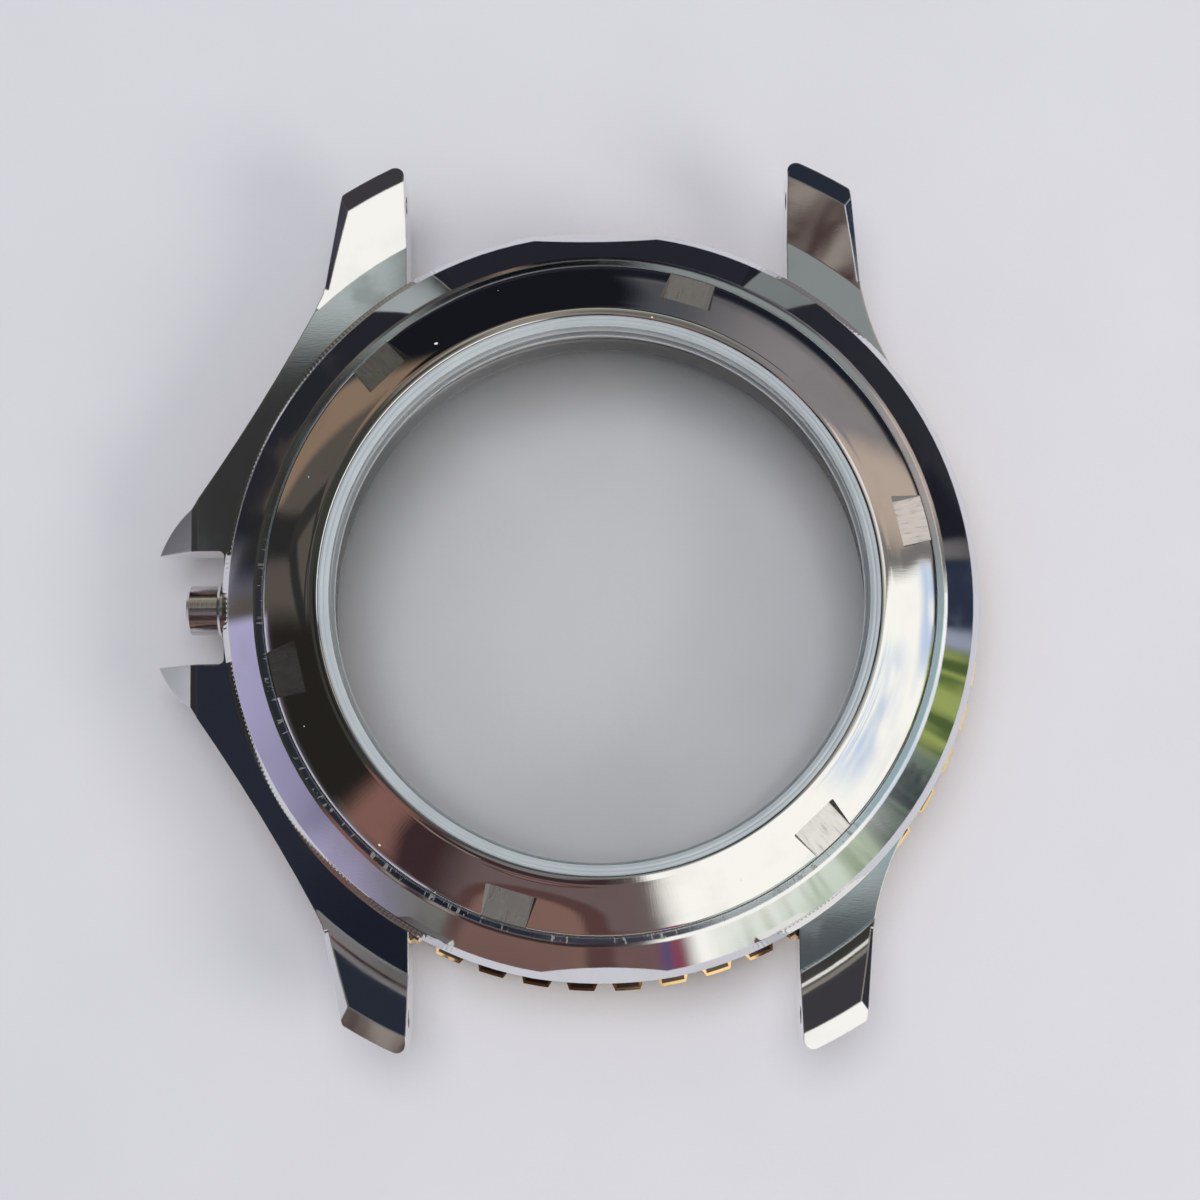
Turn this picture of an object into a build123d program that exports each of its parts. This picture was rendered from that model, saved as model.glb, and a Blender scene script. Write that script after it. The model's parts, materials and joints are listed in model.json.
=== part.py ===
from build123d import *
import math
import os

# An empty divers' watch case, lying on its crystal with the glazed back up.
# The origin is the centre of the crystal's front face. +Z leaves through the
# back, +Y points to the lugs at twelve and the crown tube points to -X.
# All sizes are in millimetres. A radius ends in r, a height in h, a place
# along the axis in z.

# Fits
press_gap = 0.02
running_gap = 0.06
loose_gap = 0.15
cut_over = 1.0

# Bore for the movement, which sets the size of every ring round it
movement_bore_r = 14.9

# Front crystal and its gasket
crystal_overlap = 0.35
crystal_h = 2.4
crystal_bevel = 0.3
crystal_gasket_wall = 0.43
crystal_gasket_foot_h = 0.2
crystal_gasket_reach = 0.6

# Neck of the mid case, which holds the crystal and carries the bezel
lip_drop = 1.05
lip_h = 0.6
lip_wall = 0.53
neck_step = 0.75
ledge_h = 0.36
ledge_reach = 1.27

# Chapter ring between the crystal and the dial
chapter_h = 0.8
chapter_back_wall = 0.62
chapter_front_wall = 0.2
dial_bore_h = 0.45

# Bezel
bezel_front_z = 0.45
bezel_h = 3.41
bezel_lift = 0.14
bezel_overhang = 0.57
bezel_web_h = 0.45
bezel_rim_w = 1.1
bezel_rim_bevel = 0.15
bezel_front_bevel = 0.65
bezel_back_slope_w = 0.5
bezel_back_slope_h = 0.2
bezel_tooth_count = 52
bezel_tooth_depth = 0.55
bezel_gap_w = 1.12
bezel_gap_floor_w = 0.6

# Insert, its adhesive and its luminous pip
insert_h = 0.47
insert_overlap = 0.8
adhesive_h = 0.08
adhesive_margin = 0.15
pip_r = 0.75
pip_dome_h = 0.12
pip_inset = 1.65

# Ratchet under the bezel, with its leaf spring and two pins
ratchet_tooth_count = 120
ratchet_depth = 0.3
ratchet_w = 1.2
ratchet_wall = 0.44
ratchet_land = 0.03
spring_w = 1.0
spring_t = 0.25
spring_base_l = 4.5
spring_bend_share = 0.125
spring_pin_shares = (0.25, 0.75)
spring_arm_l = 6.2
spring_pocket_h = 0.75
spring_nose_click = 5
spring_pin_r = 0.3
spring_pin_head_h = 0.18
spring_pin_l = 1.3

# Snap wire and dust gasket in the neck
wire_r = 0.28
wire_gap_deg = 9.0
wire_z_drop = 0.95
dust_gasket_h = 0.49
dust_gasket_w = 0.5
dust_gasket_lift = 0.3

# Barrel of the mid case
shoulder_w = 2.53
flank_h = 3.15
barrel_wall_h = 0.75
band_rim_w = 0.4
band_rim_h = 0.7
band_h = 1.5
band_edge_w = 0.17
band_edge_drop = 0.07
band_land_w = 0.33
strap_bevel_h = 1.8
strap_bevel_in = 0.83

# Case back: window, gasket, ring, thread and seal
window_inset = 1.4
window_h = 1.35
window_bevel = 0.27
window_gasket_wall = 0.52
window_gasket_foot_h = 0.18
window_gasket_reach = 0.1
window_gasket_stand = 0.25
window_gasket_round = 0.13
back_recess_gap = 0.1
back_flange_w = 1.12
back_edge_h = 1.3
back_edge_bevel = 0.08
back_dome_h = 1.95
back_dome_bulge = 0.09
back_top_land = 0.2
back_top_round_w = 0.38
back_top_round_h = 0.2
back_ledge_h = 0.5
back_skirt_wall = 1.0
back_skirt_h = 1.5
back_recess_h = 0.9
back_seat_gap = 0.05
thread_relief_h = 0.25
thread_relief_in = 0.2
thread_run_h = 0.2
seal_w = 0.65
seal_h = 0.45
seal_inset = 0.35
notch_count = 6
notch_first_deg = 13.0
notch_w = 2.46
notch_l = 1.65
notch_floor_drop = 0.15
notch_draft_deg = 5.0
notch_corner_r = 0.2

# Lugs
lug_gap = 20.0
lug_tip_w = 3.25
lug_root_w = 1.92
lug_facet_w = 2.75
lug_facet_h = 1.75
lug_end_w = 1.0
lug_end_h = 0.4
lug_end_wall_h = 1.9
lug_front_rise = 0.25
lug_bow = 0.35
lug_taper_share = 0.12
lug_straight_l = 4.1
lug_side_deg = 32.4
lug_split_deg = 47.0
lug_inner_round = 0.5
lug_outer_round = 0.25
lug_bevel_w = 0.5

# Crown side flank and guards
flank_break_out = 0.55
flank_break_drop = 0.9
flank_bow = 0.15
guard_recess_w = 5.9
guard_root_out = 1.77
guard_root_y = 5.2
guard_tip_out = 3.77
guard_bow = 0.3
guard_edge_w = 0.35
guard_edge_h = 0.2
guard_slope_share = 0.98
guard_recess_round = 0.3

# Spring bar holes, drilled through the lugs
spring_bar_r = 0.5
spring_bar_from_wall = 1.67
spring_bar_drop = 1.6

# Crown tube and its inner seal
tube_r = 1.3
tube_out = 2.05
tube_bore_r = 0.9
tube_stem_r = 1.12
tube_collar_r = 1.5
tube_collar_h = 0.42
tube_mouth_bevel = 0.15
tube_seal_h = 0.46
tube_seal_wall = 0.18
tube_seal_out = 0.9

# Radii worked out from the movement to the crystal and outwards
crystal_r = movement_bore_r + crystal_overlap
seat_bore_r = crystal_r + crystal_gasket_wall + 2 * press_gap
lip_r = seat_bore_r + lip_wall
neck_r = lip_r + neck_step
barrel_r = neck_r + shoulder_w
ledge_r = seat_bore_r - ledge_reach
chapter_r = ledge_r + chapter_front_wall - press_gap
dial_bore_r = chapter_r + press_gap
bezel_bore_r = neck_r + running_gap
bezel_r = barrel_r + bezel_overhang
bezel_rim_r = bezel_r - bezel_rim_w
bezel_web_r = lip_r + loose_gap
insert_r = bezel_rim_r - running_gap
insert_hole_r = bezel_web_r - insert_overlap

# Radii of the case back, worked out from the movement
window_r = movement_bore_r - window_inset
window_bore_r = window_r + window_gasket_wall + 2 * press_gap
window_ledge_r = window_r - window_gasket_reach
back_thread_r = movement_bore_r + back_skirt_wall
back_r = back_thread_r + back_flange_w
back_recess_r = back_r + back_recess_gap
thread_bore_r = back_thread_r + running_gap
seal_in_r = back_thread_r + seal_inset
band_land_r = back_recess_r + band_land_w
band_top_r = band_land_r + band_edge_w
band_foot_r = barrel_r - band_rim_w

# Heights worked out from the crystal's front face
neck_front_z = lip_drop + lip_h
ledge_z = crystal_h + crystal_gasket_foot_h + 2 * press_gap
chapter_front_z = ledge_z + ledge_h + press_gap
dial_z = chapter_front_z + chapter_h
movement_z = dial_z + dial_bore_h
bezel_back_z = bezel_front_z + bezel_h
shoulder_z = bezel_back_z + bezel_lift
bezel_floor_z = lip_drop
insert_z = bezel_floor_z - adhesive_h - insert_h
wire_z = neck_front_z + wire_z_drop
flank_z = shoulder_z + flank_h
band_rim_z = flank_z + barrel_wall_h
band_foot_z = band_rim_z + band_rim_h
band_top_z = band_foot_z + band_h
back_seat_z = band_top_z - back_recess_h
back_flange_z = back_seat_z + back_seat_gap
back_edge_z = back_flange_z + back_edge_h
skirt_end_z = back_flange_z - back_skirt_h
thread_end_z = skirt_end_z - thread_run_h
back_top_z = back_edge_z + back_dome_h
window_back_z = back_top_z - window_gasket_stand
window_z = window_back_z - window_h
window_ledge_z = window_z - window_gasket_foot_h - 2 * press_gap
notch_floor_z = back_edge_z - notch_floor_drop
stem_z = (shoulder_z + flank_z) / 2

# Lug places worked out from the barrel
lug_break_r = barrel_r + lug_root_w
lug_peak_r = lug_break_r + lug_facet_w
lug_r = lug_peak_r + lug_end_w
lug_peak_z = flank_z + lug_facet_h
lug_end_z = lug_peak_z - lug_end_h
lug_x = lug_gap / 2
lug_tip_x = lug_x + lug_tip_w
lug_tip_y = math.sqrt(lug_r**2 - lug_tip_x**2)
spring_bar_y = barrel_r + spring_bar_from_wall
spring_bar_z = lug_peak_z - lug_end_h / 2 - spring_bar_drop
recess_wall_x = -barrel_r - press_gap

# Where a cylinder has its origin: at its foot, or at its top
standing = (Align.CENTER, Align.CENTER, Align.MIN)
hanging = (Align.CENTER, Align.CENTER, Align.MAX)


def ring(points):
    # a turned piece from its half section, given as radius and height
    outline = Polyline(*points, close=True)
    return revolve(Plane.XZ * make_face(outline), Axis.Z)


def upright(outline, low_z, high_z):
    # a plan outline raised from one height to another
    return Pos(0, 0, low_z) * extrude(outline, high_z - low_z)


def four_ways(shape):
    # a piece at one lug, repeated at all four
    upper = [shape, mirror(shape, Plane.YZ)]
    return upper + [mirror(piece, Plane.XZ) for piece in upper]


def both_ends(shape):
    return [shape, mirror(shape, Plane.XZ)]


def flank_x(y):
    # half width of a lug at its straight outer side
    return lug_tip_x + (lug_tip_y - y) * lug_taper_share


# Mid case

def barrel():
    wire_low_z = wire_z - wire_r - press_gap
    wire_high_z = wire_z + wire_r + press_gap
    wire_floor_r = neck_r - wire_r - loose_gap
    dust_high_z = shoulder_z - dust_gasket_lift
    dust_low_z = dust_high_z - dust_gasket_h - 2 * press_gap
    dust_floor_r = neck_r - dust_gasket_w
    groove_in_r = seal_in_r - press_gap
    groove_out_r = seal_in_r + seal_w + press_gap
    groove_z = back_seat_z - seal_h
    return ring([
        (seat_bore_r, lip_drop),
        (seat_bore_r, ledge_z),
        (ledge_r, ledge_z),
        (ledge_r, ledge_z + ledge_h),
        (dial_bore_r, ledge_z + ledge_h),
        (dial_bore_r, movement_z),
        (movement_bore_r, movement_z),
        (movement_bore_r, thread_end_z),
        (thread_bore_r, thread_end_z),
        (thread_bore_r, back_seat_z),
        (groove_in_r, back_seat_z),
        (groove_in_r, groove_z),
        (groove_out_r, groove_z),
        (groove_out_r, back_seat_z),
        (back_recess_r, back_seat_z),
        (back_recess_r, band_top_z),
        (band_land_r, band_top_z),
        (band_top_r, band_top_z - band_edge_drop),
        (band_foot_r, band_foot_z),
        (barrel_r, band_rim_z),
        (barrel_r, shoulder_z),
        (neck_r, shoulder_z),
        (neck_r, dust_high_z),
        (dust_floor_r, dust_high_z),
        (dust_floor_r, dust_low_z),
        (neck_r, dust_low_z),
        (neck_r, wire_high_z),
        (wire_floor_r, wire_high_z),
        (wire_floor_r, wire_low_z),
        (neck_r, wire_low_z),
        (neck_r, neck_front_z),
        (lip_r, neck_front_z),
        (lip_r, lip_drop),
    ])


def lug_section():
    # the turned shape of the lugs: flat root, rising facet, sloping end
    front_z = shoulder_z + lug_front_rise
    end_front_z = lug_end_z - lug_end_wall_h
    bow = (
        (lug_break_r + lug_r) / 2 + lug_bow,
        (front_z + end_front_z) / 2 - lug_bow,
    )
    outline = Curve() + [
        Polyline(
            (lug_r, end_front_z),
            (lug_r + cut_over, end_front_z),
            (lug_r + cut_over, lug_end_z - lug_end_h * cut_over / lug_end_w),
            (lug_peak_r, lug_peak_z),
            (lug_break_r, flank_z),
            (neck_r, flank_z),
            (neck_r, shoulder_z),
            (barrel_r, shoulder_z),
            (lug_break_r, front_z),
        ),
        ThreePointArc((lug_break_r, front_z), bow, (lug_r, end_front_z)),
    ]
    return revolve(Plane.XZ * make_face(outline), Axis.Z)


def flank_section():
    # the same flat root carried out under the crown guards
    front_z = shoulder_z + lug_front_rise
    return ring([
        (neck_r, shoulder_z),
        (barrel_r, shoulder_z),
        (lug_break_r, front_z),
        (lug_r, front_z + lug_front_rise),
        (lug_r, flank_z),
        (neck_r, flank_z),
    ])


def rounded_tip(outline):
    # trim a lug's plan outline to its end circle and round its two corners
    tip = outline & Circle(lug_r)
    corners = tip.vertices().sort_by(Axis.Y)
    tip = fillet(corners[-1], lug_inner_round)
    outer = tip.vertices().sort_by_distance((lug_tip_x, lug_tip_y, 0))[0]
    return fillet(outer, lug_outer_round)


def plain_lug_outline():
    # a lug on the side away from the crown, blended into the barrel
    side = math.radians(lug_side_deg)
    bend_y = lug_tip_y - lug_straight_l
    bend = (flank_x(bend_y), bend_y)
    foot = (barrel_r * math.cos(side), barrel_r * math.sin(side))
    outline = Curve() + [
        Polyline(
            foot,
            (lug_x, foot[1]),
            (lug_x, lug_r),
            (flank_x(lug_r), lug_r),
            bend,
        ),
        TangentArc(bend, foot, tangent=(lug_taper_share, -1)),
    ]
    return rounded_tip(make_face(outline))


def crown_side_outline():
    # the crown side in plan, from a lug's tip to the recess, mirrored to +X
    bend_y = lug_tip_y - lug_straight_l - flank_break_drop
    bend = (flank_x(bend_y) + flank_break_out, bend_y)
    root = (barrel_r + guard_root_out, guard_root_y)
    middle = (
        (bend[0] + root[0]) / 2 - flank_bow,
        (bend[1] + root[1]) / 2 - flank_bow,
    )
    recess_y = guard_recess_w / 2
    tip = (barrel_r + guard_tip_out, recess_y)
    shoulder = ((root[0] + tip[0]) / 2 + guard_bow, (root[1] + tip[1]) / 2)
    outline = Curve() + [
        ThreePointArc(root, shoulder, tip),
        Polyline(
            tip,
            (-recess_wall_x, recess_y),
            (-recess_wall_x, 0),
            (lug_x, 0),
            (lug_x, lug_r),
            (flank_x(lug_r), lug_r),
            (flank_x(lug_tip_y), lug_tip_y),
            bend,
        ),
        ThreePointArc(bend, middle, root),
    ]
    face = rounded_tip(make_face(outline))
    corner = face.vertices().sort_by_distance((-recess_wall_x, recess_y, 0))[0]
    return fillet(corner, guard_recess_round)


def strap_half(outline, upper):
    # the part of an outline beyond or before the line where a lug begins
    split_y = lug_break_r * math.sin(math.radians(lug_split_deg))
    size = 2 * lug_r
    offset = size / 2 if upper else -size / 2
    return outline & (Pos(0, split_y + offset) * Rectangle(2 * size, size))


def lug_bevel(bend_out):
    # cuts the long bevel on the outer back edge of one lug
    foot_y = math.sqrt(lug_break_r**2 - lug_tip_x**2)
    peak_y = math.sqrt(lug_peak_r**2 - lug_tip_x**2)
    foot = Vector(flank_x(foot_y) + bend_out, foot_y, flank_z)
    inner = Vector(flank_x(peak_y) - lug_bevel_w, peak_y, lug_peak_z)
    outer = Vector(flank_x(peak_y), peak_y, lug_peak_z - lug_bevel_w)
    along = (inner + outer) * 0.5 - foot
    face = (outer - inner).cross(along)
    plane = Plane(origin=foot, x_dir=along, z_dir=face)
    reach = lug_facet_w + lug_end_w + cut_over
    cutter = Box(reach, reach, reach, align=(Align.MIN, Align.CENTER, Align.MIN))
    return plane * cutter


def strap_bevel():
    # the flat between the lugs that gives a strap its room
    share = strap_bevel_in / strap_bevel_h
    top_z = band_top_z + cut_over
    outline = Polyline(
        (barrel_r, flank_z),
        (barrel_r - (top_z - flank_z) * share, top_z),
        (barrel_r + cut_over, top_z),
        (barrel_r + cut_over, flank_z),
        close=True,
    )
    return extrude(Plane.YZ * make_face(outline), lug_x, both=True)


def guard_facets():
    # the small edge bevel and the long outer slope of both guards
    edge_x = -barrel_r - guard_root_out
    out_x = edge_x - guard_tip_out
    outline = Polyline(
        (edge_x + guard_edge_w, flank_z + cut_over),
        (edge_x + guard_edge_w, flank_z),
        (edge_x, flank_z - guard_edge_h),
        (out_x, flank_z - guard_edge_h - guard_tip_out * guard_slope_share),
        (out_x, flank_z + cut_over),
        close=True,
    )
    return extrude(Plane.XZ * make_face(outline), lug_x, both=True)


def spring_bar_hole():
    hole = Cylinder(spring_bar_r, lug_tip_w + lug_root_w + 2 * cut_over, align=standing)
    return Pos(lug_x - cut_over, spring_bar_y, spring_bar_z) * Rot(0, 90, 0) * hole


def tube_hole():
    length = barrel_r - movement_bore_r + 2 * cut_over
    hole = Cylinder(tube_stem_r + press_gap, length, align=standing)
    return Pos(-movement_bore_r + cut_over, 0, stem_z) * Rot(0, -90, 0) * hole


def ratchet_mid_r():
    return bezel_bore_r + ratchet_wall + ratchet_w / 2


def spring_pocket():
    # a curved slot in the shoulder, with two blind holes for the pins
    half_w = spring_w / 2 + loose_gap
    middle_r = ratchet_mid_r()
    band = Circle(middle_r + half_w) - Circle(middle_r - half_w)
    length = spring_base_l + spring_arm_l + 2 * loose_gap
    window = Pos((spring_arm_l - spring_base_l) / 2, middle_r) * Rectangle(length, length)
    slot = upright(band & window, shoulder_z - cut_over, shoulder_z + spring_pocket_h)
    hole = Cylinder(spring_pin_r + press_gap, spring_pin_l + loose_gap, align=standing)
    holes = [place * hole for place in pin_places(shoulder_z + spring_pocket_h)]
    return slot + holes


def pin_places(z):
    # the two pins through the base of the leaf spring
    middle_r = ratchet_mid_r()
    places = []
    for share in spring_pin_shares:
        x = -spring_base_l * share
        places.append(Pos(x, math.sqrt(middle_r**2 - x**2), z))
    return places


def make_mid_case():
    lugs = lug_section()
    flanks = flank_section()
    plain = upright(plain_lug_outline(), shoulder_z - cut_over, lug_peak_z + cut_over) & lugs
    crown = crown_side_outline()
    crown_lug = upright(strap_half(crown, True), shoulder_z - cut_over, lug_peak_z + cut_over) & lugs
    crown_flank = upright(strap_half(crown, False), shoulder_z - cut_over, flank_z + cut_over) & flanks
    plain -= lug_bevel(0)
    crown_lug -= lug_bevel(flank_break_out)
    crown_lug = mirror(crown_lug, Plane.YZ)
    crown_flank = mirror(crown_flank, Plane.YZ)
    body = barrel()
    bore = Pos(0, 0, shoulder_z - cut_over) * Cylinder(neck_r, lug_peak_z, align=standing)
    for piece in (plain, crown_lug, crown_flank):
        for copy in both_ends(piece - bore):
            body += copy
    body -= both_ends(strap_bevel())
    body -= guard_facets()
    body -= four_ways(spring_bar_hole())
    body -= tube_hole()
    body -= spring_pocket()
    return body


# Crown tube

def along_stem(piece):
    # carry a piece turned about Z to the stem's axis, pointing out of the case
    return Pos(recess_wall_x, 0, stem_z) * Rot(0, -90, 0) * piece


def make_crown_tube():
    inner_z = movement_bore_r + recess_wall_x + loose_gap
    seal_z = tube_seal_out - tube_seal_h
    groove_r = tube_bore_r + tube_seal_wall + 2 * press_gap
    mouth_z = tube_out - tube_mouth_bevel
    return along_stem(ring([
        (tube_bore_r, inner_z),
        (tube_stem_r, inner_z),
        (tube_stem_r, press_gap),
        (tube_collar_r, press_gap),
        (tube_collar_r, tube_collar_h - tube_mouth_bevel),
        (tube_collar_r - tube_mouth_bevel, tube_collar_h),
        (tube_r, tube_collar_h),
        (tube_r, mouth_z),
        (tube_r - tube_mouth_bevel, tube_out),
        (tube_bore_r + tube_mouth_bevel, tube_out),
        (tube_bore_r, mouth_z),
        (tube_bore_r, tube_seal_out + press_gap),
        (groove_r, tube_seal_out + press_gap),
        (groove_r, seal_z - press_gap),
        (tube_bore_r, seal_z - press_gap),
    ]))


def make_tube_seal():
    inner_r = tube_bore_r + press_gap
    outer_r = inner_r + tube_seal_wall
    low_z = tube_seal_out - tube_seal_h
    return along_stem(ring([
        (inner_r, low_z),
        (outer_r, low_z),
        (outer_r, tube_seal_out),
        (inner_r, tube_seal_out),
    ]))


# Front crystal, its gasket and the chapter ring

def make_front_crystal():
    return ring([
        (0, 0),
        (crystal_r - crystal_bevel, 0),
        (crystal_r, crystal_bevel),
        (crystal_r, crystal_h),
        (0, crystal_h),
    ])


def make_crystal_gasket():
    inner_r = crystal_r + press_gap
    outer_r = inner_r + crystal_gasket_wall
    foot_z = crystal_h + press_gap
    back_z = foot_z + crystal_gasket_foot_h
    return ring([
        (inner_r, lip_drop),
        (outer_r, lip_drop),
        (outer_r, back_z),
        (crystal_r - crystal_gasket_reach, back_z),
        (crystal_r - crystal_gasket_reach, foot_z),
        (inner_r, foot_z),
    ])


def make_chapter_ring():
    return ring([
        (chapter_r, chapter_front_z),
        (chapter_r, dial_z),
        (chapter_r - chapter_back_wall, dial_z),
        (chapter_r - chapter_front_wall, chapter_front_z),
    ])


# Bezel

def bezel_blank():
    wire_low_z = wire_z - wire_r - press_gap
    wire_high_z = wire_z + wire_r + press_gap
    wire_floor_r = bezel_bore_r + wire_r + loose_gap
    return ring([
        (bezel_web_r, bezel_floor_z),
        (bezel_rim_r, bezel_floor_z),
        (bezel_rim_r, bezel_front_z + bezel_rim_bevel),
        (bezel_rim_r + bezel_rim_bevel, bezel_front_z),
        (bezel_r - bezel_front_bevel, bezel_front_z),
        (bezel_r, bezel_front_z + bezel_front_bevel),
        (bezel_r, bezel_back_z - bezel_back_slope_h),
        (bezel_r - bezel_back_slope_w, bezel_back_z),
        (bezel_bore_r, bezel_back_z),
        (bezel_bore_r, wire_high_z),
        (wire_floor_r, wire_high_z),
        (wire_floor_r, wire_low_z),
        (bezel_bore_r, wire_low_z),
        (bezel_bore_r, bezel_floor_z + bezel_web_h),
        (bezel_web_r, bezel_floor_z + bezel_web_h),
    ])


def grip_outline():
    # the coin edge in plan: one gap lies on the -Y axis
    depth = bezel_tooth_depth
    slope = (bezel_gap_w - bezel_gap_floor_w) / depth
    wide = bezel_gap_floor_w + slope * (depth + cut_over)
    floor_r = bezel_r - depth
    gap = make_face(Polyline(
        (-bezel_gap_floor_w / 2, -floor_r),
        (bezel_gap_floor_w / 2, -floor_r),
        (wide / 2, -bezel_r - cut_over),
        (-wide / 2, -bezel_r - cut_over),
        close=True,
    ))
    step = 360 / bezel_tooth_count
    gaps = [Rot(0, 0, step * i) * gap for i in range(bezel_tooth_count)]
    return Circle(bezel_r + cut_over / 2) - gaps


def ratchet_cuts():
    # saw teeth that let the bezel turn one way only
    inner_r = bezel_bore_r + ratchet_wall
    step = 360 / ratchet_tooth_count
    width = math.radians(step) * inner_r - ratchet_land
    wall_z = bezel_back_z - ratchet_depth
    over_z = bezel_back_z + ratchet_depth
    profile = make_face(Polyline(
        (0, wall_z),
        (0, over_z),
        (-width, over_z),
        (-width, bezel_back_z),
        close=True,
    ))
    tooth = Pos(0, inner_r + ratchet_w, 0) * extrude(Plane.XZ * profile, ratchet_w)
    return [Rot(0, 0, step * i) * tooth for i in range(ratchet_tooth_count)]


def make_bezel_ring():
    blank = bezel_blank() & upright(grip_outline(), 0, shoulder_z)
    return blank - ratchet_cuts()


def pip_place(z):
    return Pos(0, bezel_rim_r - pip_inset, z)


def make_bezel_insert():
    back_z = insert_z + insert_h
    insert = ring([
        (insert_hole_r, insert_z),
        (insert_r, insert_z),
        (insert_r, back_z),
        (insert_hole_r, back_z),
    ])
    hole = Cylinder(pip_r + running_gap, insert_h + 2 * cut_over)
    return insert - pip_place(insert_z) * hole


def make_insert_adhesive():
    front_z = insert_z + insert_h
    back_z = front_z + adhesive_h
    inner_r = bezel_web_r + adhesive_margin
    outer_r = bezel_rim_r - adhesive_margin
    return ring([(inner_r, front_z), (outer_r, front_z), (outer_r, back_z), (inner_r, back_z)])


def make_bezel_pip():
    # a drop of luminous paste with a domed face, cemented through the insert
    dome_r = (pip_r**2 + pip_dome_h**2) / (2 * pip_dome_h)
    ball = Pos(0, 0, dome_r - pip_dome_h) * Sphere(dome_r)
    body = Pos(0, 0, -pip_dome_h) * Cylinder(pip_r, insert_h + pip_dome_h, align=standing)
    return pip_place(insert_z) * (body & ball)


def make_bezel_snap_wire():
    section = Pos(neck_r + running_gap / 2, wire_z) * Circle(wire_r)
    half_gap = wire_gap_deg / 2
    wire = revolve(Plane.XZ * section, Axis.Z, revolution_arc=360 - wire_gap_deg)
    return Rot(0, 0, -90 + half_gap) * wire


def make_bezel_dust_gasket():
    high_z = shoulder_z - dust_gasket_lift - press_gap
    low_z = high_z - dust_gasket_h
    inner_r = neck_r - dust_gasket_w + press_gap
    outer_r = neck_r + running_gap / 2
    return ring([(inner_r, low_z), (outer_r, low_z), (outer_r, high_z), (inner_r, high_z)])


def make_bezel_click_spring():
    # a leaf that lies flat at its pins and rises to a nose in the ratchet
    middle_r = ratchet_mid_r()
    floor_z = shoulder_z + spring_pocket_h - press_gap
    click = math.radians(spring_nose_click * 360 / ratchet_tooth_count)
    nose_x = middle_r * math.sin(click) - ratchet_land - running_gap
    nose_z = bezel_back_z - ratchet_depth + running_gap
    bend_x = -spring_base_l * spring_bend_share
    profile = make_face(Polyline(
        (-spring_base_l, floor_z),
        (-spring_base_l, floor_z - spring_t),
        (bend_x, floor_z - spring_t),
        (nose_x - spring_t, bezel_back_z + running_gap),
        (nose_x, nose_z + running_gap),
        (nose_x, bezel_back_z + spring_t),
        (bend_x, floor_z),
        close=True,
    ))
    leaf = extrude(Plane.XZ * profile, 2 * bezel_r)
    band = Circle(middle_r + spring_w / 2) - Circle(middle_r - spring_w / 2)
    leaf = mirror(leaf, Plane.XZ) & upright(band, 0, flank_z)
    hole = Cylinder(spring_pin_r + press_gap, 2 * spring_pocket_h)
    return leaf - [place * hole for place in pin_places(floor_z)]


def make_click_spring_pins():
    leaf_front_z = shoulder_z + spring_pocket_h - press_gap - spring_t
    head_z = leaf_front_z - press_gap
    shank = Cylinder(spring_pin_r, spring_pin_l + spring_t, align=standing)
    head = Cylinder(spring_pin_r + loose_gap, spring_pin_head_h, align=hanging)
    return [place * (shank + head) for place in pin_places(head_z)]


# Case back

def back_section():
    dome_top_r = window_bore_r + back_top_land + back_top_round_w
    dome_top_z = back_top_z - back_top_round_h
    edge = (back_r - back_edge_bevel, back_edge_z + back_edge_bevel)
    bow = (
        (edge[0] + dome_top_r) / 2 + back_dome_bulge,
        (edge[1] + dome_top_z) / 2 + back_dome_bulge,
    )
    land = (window_bore_r + back_top_land, back_top_z)
    relief_r = back_thread_r - thread_relief_in
    relief_z = back_flange_z - thread_relief_h
    dome = ThreePointArc(edge, bow, (dome_top_r, dome_top_z))
    crest = TangentArc((dome_top_r, dome_top_z), land, tangent=dome % 1)
    return Curve() + [
        dome,
        crest,
        Polyline(
            land,
            (window_bore_r, back_top_z),
            (window_bore_r, window_ledge_z),
            (window_ledge_r, window_ledge_z),
            (window_ledge_r, window_ledge_z - back_ledge_h),
            (movement_bore_r, back_flange_z + thread_relief_h),
            (movement_bore_r, skirt_end_z),
            (back_thread_r, skirt_end_z),
            (back_thread_r, relief_z),
            (relief_r, relief_z),
            (relief_r, back_flange_z),
            (back_r, back_flange_z),
            (back_r, back_edge_z),
            edge,
        ),
    ]


def wrench_notch():
    # one slot for the case wrench: flat floor, leaning sides, open outside
    top_z = back_top_z + cut_over
    lean = math.tan(math.radians(notch_draft_deg))
    top_drop = top_z - notch_floor_z
    deep = back_top_z - notch_floor_z - back_top_round_h
    floor_w = notch_w - 2 * lean * deep / 2
    top_w = floor_w + 2 * lean * top_drop
    length = notch_l + cut_over
    floor = Pos(length / 2, 0) * RectangleRounded(length, floor_w, notch_corner_r)
    top = Pos(length / 2, 0) * RectangleRounded(length, top_w, notch_corner_r)
    sides = loft([Pos(0, 0, notch_floor_z) * floor, Pos(0, 0, top_z) * top], ruled=True)
    return Pos(back_r - notch_l, 0, 0) * sides


def make_case_back_ring():
    body = revolve(Plane.XZ * make_face(back_section()), Axis.Z)
    step = 360 / notch_count
    notch = wrench_notch()
    return body - [Rot(0, 0, notch_first_deg + step * i) * notch for i in range(notch_count)]


def make_back_window():
    return ring([
        (0, window_z),
        (window_r, window_z),
        (window_r, window_back_z - window_bevel),
        (window_r - window_bevel, window_back_z),
        (0, window_back_z),
    ])


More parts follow.
